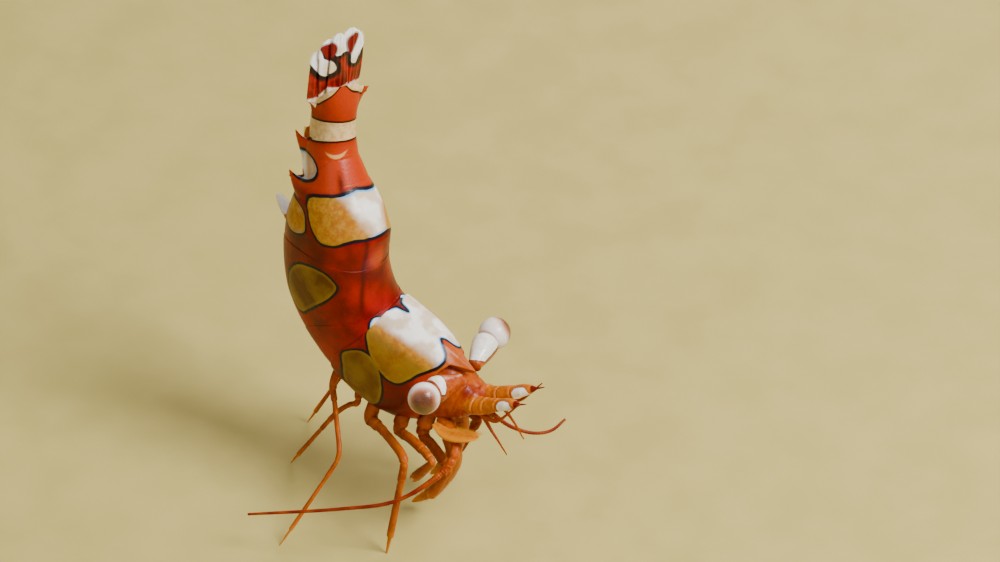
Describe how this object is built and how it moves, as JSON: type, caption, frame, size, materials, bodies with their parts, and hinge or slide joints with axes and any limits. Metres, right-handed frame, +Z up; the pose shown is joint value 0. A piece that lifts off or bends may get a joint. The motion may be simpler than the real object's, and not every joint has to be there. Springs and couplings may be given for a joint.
{
  "type": "squat anemone shrimp model",
  "caption": "Life-size still model of a squat anemone shrimp standing with its abdomen raised over its back.",
  "frame": {"origin": "on the floor, under the middle of the whole animal's footprint", "axes": "+X ahead of the animal, +Y to its left, +Z up from the floor; the raised tail makes +Z the longest extent"},
  "size_m": [0.0128, 0.0122, 0.0202],
  "materials": {
    "red_shell": "smooth shell plates, deep red with pearl saddles",
    "orange_shell": "thin orange shell, slightly translucent",
    "tail_fan": "thin blades, red with white patches",
    "eyestalk": "white shell over a red-brown underside",
    "cornea": "pearly, rounded",
    "limb": "thin orange-red shell"
  },
  "bodies": {
    "root": {"carapace": "red_shell", "head": "orange_shell", "somite_1": "red_shell", "somite_2": "red_shell", "somite_3": "red_shell", "somite_4": "red_shell", "somite_5": "red_shell", "somite_6": "red_shell", "telson": "tail_fan", "uropod_inner_l": "tail_fan", "uropod_inner_r": "tail_fan", "uropod_outer_l": "tail_fan", "uropod_outer_r": "tail_fan", "eyestalk_l": "eyestalk", "eyestalk_r": "eyestalk", "cornea_l": "cornea", "cornea_r": "cornea", "antennule_l": "orange_shell", "antennule_r": "orange_shell", "antennal_scale_l": "orange_shell", "antennal_scale_r": "orange_shell", "antenna_l": "limb", "antenna_r": "limb", "maxilliped_l": "limb", "maxilliped_r": "limb", "pereopod_1_l": "limb", "pereopod_1_r": "limb", "pereopod_2_l": "limb", "pereopod_2_r": "limb", "pereopod_3_l": "limb", "pereopod_3_r": "limb", "pereopod_4_l": "limb", "pereopod_4_r": "limb", "pereopod_5_l": "limb", "pereopod_5_r": "limb", "pleopod_1_l": "limb", "pleopod_1_r": "limb", "pleopod_2_l": "limb", "pleopod_2_r": "limb", "pleopod_3_l": "limb", "pleopod_3_r": "limb", "pleopod_4_l": "limb", "pleopod_4_r": "limb", "pleopod_5_l": "limb", "pleopod_5_r": "limb"}
  },
  "joints": []
}
